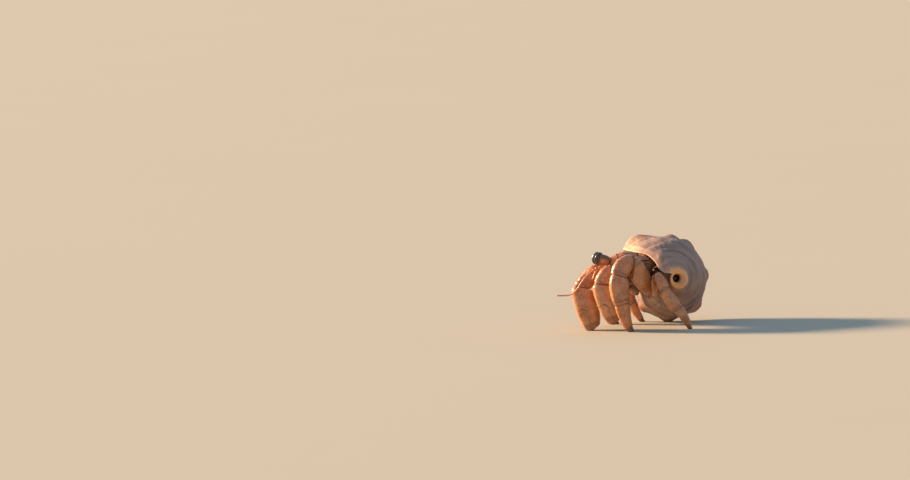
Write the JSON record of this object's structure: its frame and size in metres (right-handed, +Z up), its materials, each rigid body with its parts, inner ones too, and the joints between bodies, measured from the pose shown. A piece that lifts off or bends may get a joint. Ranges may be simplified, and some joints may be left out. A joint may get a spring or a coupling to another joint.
{
  "type": "land hermit crab model",
  "caption": "Life-size still model of a land hermit crab walking in a knobbed spiral sea-snail shell, for display on a flat surface.",
  "frame": {"origin": "middle of the bounding box's base, on the floor that the feet stand on", "axes": "+Z up, the crab faces -X, its left side is towards -Y"},
  "size_m": [0.0558, 0.0392, 0.0319],
  "materials": {
    "worn_shell": "worn, satin",
    "soft_skin": "matt",
    "orange_plate": "glossy, grained",
    "dark_eye": "glossy"
  },
  "bodies": {
    "root": {"shell": "worn_shell", "trunk": "soft_skin", "shield": "orange_plate", "head": "orange_plate", "eyestalk_left": "orange_plate", "eye_left": "dark_eye", "antenna_base_left": "orange_plate", "antenna_left": "orange_plate", "antennule_left": "orange_plate", "mouthpart_left": "orange_plate", "claw_left_merus": "orange_plate", "claw_left_carpus": "orange_plate", "claw_left_palm": "orange_plate", "claw_left_finger": "orange_plate", "leg2_left_merus": "orange_plate", "leg2_left_carpus": "orange_plate", "leg2_left_propodus": "orange_plate", "leg2_left_dactyl": "orange_plate", "leg3_left_merus": "orange_plate", "leg3_left_carpus": "orange_plate", "leg3_left_propodus": "orange_plate", "leg3_left_dactyl": "orange_plate", "eyestalk_right": "orange_plate", "eye_right": "dark_eye", "antenna_base_right": "orange_plate", "antenna_right": "orange_plate", "antennule_right": "orange_plate", "mouthpart_right": "orange_plate", "claw_right_merus": "orange_plate", "claw_right_carpus": "orange_plate", "claw_right_palm": "orange_plate", "claw_right_finger": "orange_plate", "leg2_right_merus": "orange_plate", "leg2_right_carpus": "orange_plate", "leg2_right_propodus": "orange_plate", "leg2_right_dactyl": "orange_plate", "leg3_right_merus": "orange_plate", "leg3_right_carpus": "orange_plate", "leg3_right_propodus": "orange_plate", "leg3_right_dactyl": "orange_plate"}
  },
  "joints": []
}
